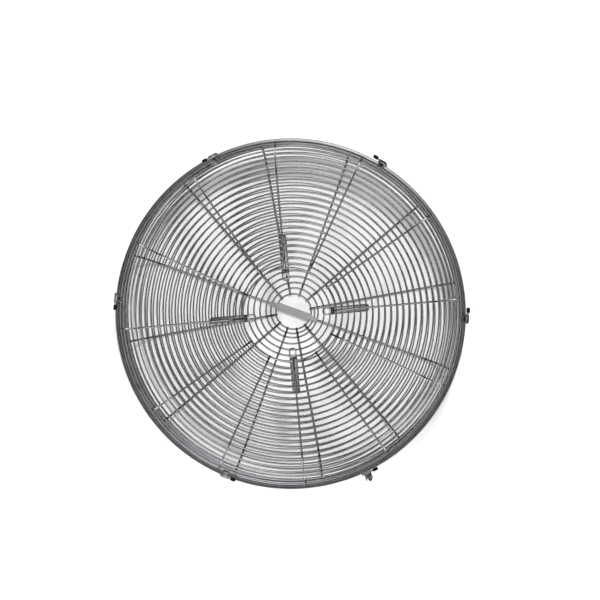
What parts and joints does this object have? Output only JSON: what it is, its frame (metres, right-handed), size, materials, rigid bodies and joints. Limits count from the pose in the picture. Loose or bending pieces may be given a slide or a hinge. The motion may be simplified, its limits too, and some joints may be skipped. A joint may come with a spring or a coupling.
{
  "type": "fan guard cage",
  "caption": "Round wire guard cage of a wall fan: front and rear spiral-wound guards in a rolled hoop, with motor straps, a plain badge bar and sprung clips.",
  "frame": {"origin": "middle of the overall box on its lowest face: the point of the fan's axis where the front wires rest on the floor", "axes": "+Z along the fan's axis from the front guard to the rear, motor side; +X to the right and +Y up in the picture"},
  "size_m": [0.6614, 0.65, 0.1823],
  "materials": {
    "bright_wire": "bright chrome plate",
    "rolled_steel": "bright plated strip",
    "pressed_steel": "plated pressed steel",
    "plain_bar": "satin",
    "black_plastic": "moulded, fine grain"
  },
  "bodies": {
    "cage": {"front_spiral": "bright_wire", "front_centre_ring": "bright_wire", "front_rim_rod": "bright_wire", "front_radial_01": "bright_wire", "front_radial_02": "bright_wire", "front_radial_03": "bright_wire", "front_radial_04": "bright_wire", "front_radial_05": "bright_wire", "front_radial_06": "bright_wire", "front_radial_07": "bright_wire", "front_radial_08": "bright_wire", "front_radial_09": "bright_wire", "front_radial_10": "bright_wire", "front_radial_11": "bright_wire", "front_radial_12": "bright_wire", "badge_bar": "plain_bar", "rear_spiral": "bright_wire", "rear_centre_ring": "bright_wire", "rear_rim_rod": "bright_wire", "rear_radial_01": "bright_wire", "rear_radial_02": "bright_wire", "rear_radial_03": "bright_wire", "rear_radial_04": "bright_wire", "rear_radial_05": "bright_wire", "rear_radial_06": "bright_wire", "rear_radial_07": "bright_wire", "rear_radial_08": "bright_wire", "rear_radial_09": "bright_wire", "rear_radial_10": "bright_wire", "rear_radial_11": "bright_wire", "rear_radial_12": "bright_wire", "motor_strap_1": "pressed_steel", "motor_strap_2": "pressed_steel", "motor_strap_3": "pressed_steel", "motor_strap_4": "pressed_steel", "rim_hoop": "rolled_steel", "clip_1_bracket": "pressed_steel", "clip_1_pin": "pressed_steel", "clip_2_bracket": "pressed_steel", "clip_2_pin": "pressed_steel", "clip_3_bracket": "pressed_steel", "clip_3_pin": "pressed_steel", "clip_4_bracket": "pressed_steel", "clip_4_pin": "pressed_steel", "clip_5_bracket": "pressed_steel", "clip_5_pin": "pressed_steel", "clip_6_bracket": "pressed_steel", "clip_6_pin": "pressed_steel"},
    "clip_1": {"clip_1_hook": "pressed_steel", "clip_1_grip": "black_plastic"},
    "clip_2": {"clip_2_hook": "pressed_steel", "clip_2_grip": "black_plastic"},
    "clip_3": {"clip_3_hook": "pressed_steel", "clip_3_grip": "black_plastic"},
    "clip_4": {"clip_4_hook": "pressed_steel", "clip_4_grip": "black_plastic"},
    "clip_5": {"clip_5_hook": "pressed_steel", "clip_5_grip": "black_plastic"},
    "clip_6": {"clip_6_hook": "pressed_steel", "clip_6_grip": "black_plastic"}
  },
  "joints": [
    {"name": "clip_1_hinge", "type": "hinge", "parent": "cage", "child": "clip_1", "pos_m": [0.32637, -0.00912, 0.12143], "axis": [0.0279, 0.9996, 0], "range_deg": [-12, 178]},
    {"name": "clip_2_hinge", "type": "hinge", "parent": "cage", "child": "clip_2", "pos_m": [0.1706, 0.27839, 0.12143], "axis": [-0.8526, 0.5225, 0], "range_deg": [-15, 175]},
    {"name": "clip_3_hinge", "type": "hinge", "parent": "cage", "child": "clip_3", "pos_m": [-0.14466, 0.2927, 0.12143], "axis": [-0.8965, -0.4431, 0], "range_deg": [0, 190]},
    {"name": "clip_4_hinge", "type": "hinge", "parent": "cage", "child": "clip_4", "pos_m": [-0.32526, 0.02846, 0.12143], "axis": [-0.0872, -0.9962, 0], "range_deg": [0, 190]},
    {"name": "clip_5_hinge", "type": "hinge", "parent": "cage", "child": "clip_5", "pos_m": [-0.12231, -0.30273, 0.12143], "axis": [0.9272, -0.3746, 0], "range_deg": [0, 190]},
    {"name": "clip_6_hinge", "type": "hinge", "parent": "cage", "child": "clip_6", "pos_m": [0.14056, -0.29469, 0.12143], "axis": [0.9026, 0.4305, 0], "range_deg": [-180, 10]}
  ]
}
